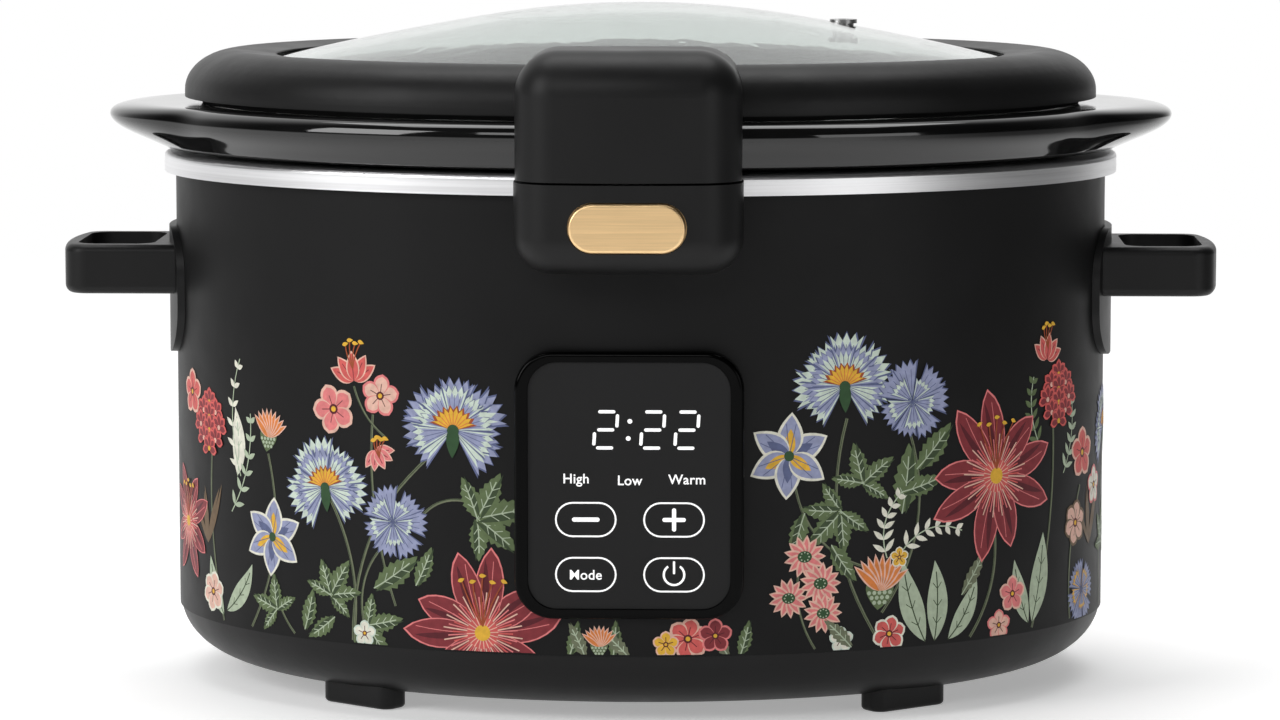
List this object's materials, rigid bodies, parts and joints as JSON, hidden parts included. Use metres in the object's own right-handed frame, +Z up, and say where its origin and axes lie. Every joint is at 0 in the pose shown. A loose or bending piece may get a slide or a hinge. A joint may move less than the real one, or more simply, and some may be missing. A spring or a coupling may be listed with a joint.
{
  "type": "slow cooker",
  "caption": "Oval programmable slow cooker with touch panel, side handles, lift-out glazed crock and a rear-hinged glass lid held by a front push-button latch.",
  "frame": {"origin": "on the table under the middle of the cooker, at the bottom of the feet", "axes": "+Z up, -Y towards the control panel, +X towards the right-hand handle as seen from the front"},
  "size_m": [0.442, 0.3298, 0.2574],
  "materials": {
    "black_enamel": "matt black powder coat, printed",
    "black_glaze": "gloss glaze on stoneware",
    "black_plastic": "fine-grained moulding",
    "board_green": "solder-masked board",
    "brushed_rim": "circular brushing",
    "clear_glass": "tempered, clear",
    "component_grey": "moulded case",
    "copper_pin": "turned",
    "display_amber": "display window",
    "galvanised": "aluminised sheet, satin",
    "gloss_black": "piano black",
    "gold_button": "brushed, clear coated",
    "insulation": "glass-fibre felt",
    "mica_band": "mica heater in steel",
    "silicone": "soft silicone",
    "terminal_white": "nylon",
    "touch_panel": "smoked, anti-glare",
    "vent_metal": "satin",
    "zinc_steel": "bright zinc"
  },
  "bodies": {
    "base": {"housing_wrap": "black_enamel", "base_pan": "black_plastic", "foot_front_left": "black_plastic", "foot_front_right": "black_plastic", "foot_rear_left": "black_plastic", "foot_rear_right": "black_plastic", "heating_well": "galvanised", "rim_trim": "brushed_rim", "heater_band": "mica_band", "insulation_sleeve": "insulation", "band_clamp_screw": "zinc_steel", "tie_bracket": "galvanised", "base_screws": "zinc_steel", "heat_shield": "galvanised", "power_board": "board_green", "relay": "component_grey", "filter_capacitor": "component_grey", "terminal_block": "terminal_white", "thermal_fuse": "zinc_steel", "temperature_sensor": "zinc_steel", "heater_leads": "silicone", "control_bezel": "gloss_black", "touch_lens": "touch_panel", "control_board": "board_green", "control_carrier": "black_plastic", "display_module": "display_amber", "touch_springs": "zinc_steel", "board_screws": "zinc_steel", "display_ribbon": "terminal_white", "right_handle": "black_plastic", "left_handle": "black_plastic", "handle_screws": "zinc_steel", "latch_housing": "black_plastic", "latch_screws": "zinc_steel", "catch_spring": "zinc_steel", "hinge_socket": "black_plastic", "hinge_socket_screws": "zinc_steel", "cord_inlet": "black_plastic", "inlet_pins": "copper_pin", "inlet_screws": "zinc_steel"},
    "button": {"release_button": "gold_button"},
    "crock": {"crock": "black_glaze"},
    "hinge_bracket": {"hinge_bracket": "black_plastic", "hinge_pin": "zinc_steel"},
    "lid": {"lid_frame": "black_plastic", "lid_glass": "clear_glass", "glass_seal": "silicone", "lid_under_ring": "black_plastic", "ring_screws": "zinc_steel", "rim_gasket": "silicone", "vent_grommet": "vent_metal", "latch_block": "black_plastic", "striker": "zinc_steel", "striker_screws": "zinc_steel", "lid_hinge_arm": "black_plastic", "hinge_arm_screws": "zinc_steel"}
  },
  "joints": [
    {"name": "release_button", "type": "slide", "parent": "base", "child": "button", "axis": [0, 1, 0], "range_m": [0, 0.004], "stiffness_N_per_m": 600, "deforming": ["catch_spring"]},
    {"name": "crock_lift", "type": "slide", "parent": "base", "child": "crock", "axis": [0, 0, 1], "range_m": [0, 0.17]},
    {"name": "lid_lift", "type": "slide", "parent": "crock", "child": "hinge_bracket", "axis": [0, 0, 1], "range_m": [0, 0.08]},
    {"name": "lid_hinge", "type": "hinge", "parent": "hinge_bracket", "child": "lid", "pos_m": [0, 0.155, 0.205], "axis": [-1, 0, 0], "range_deg": [0, 90]}
  ]
}
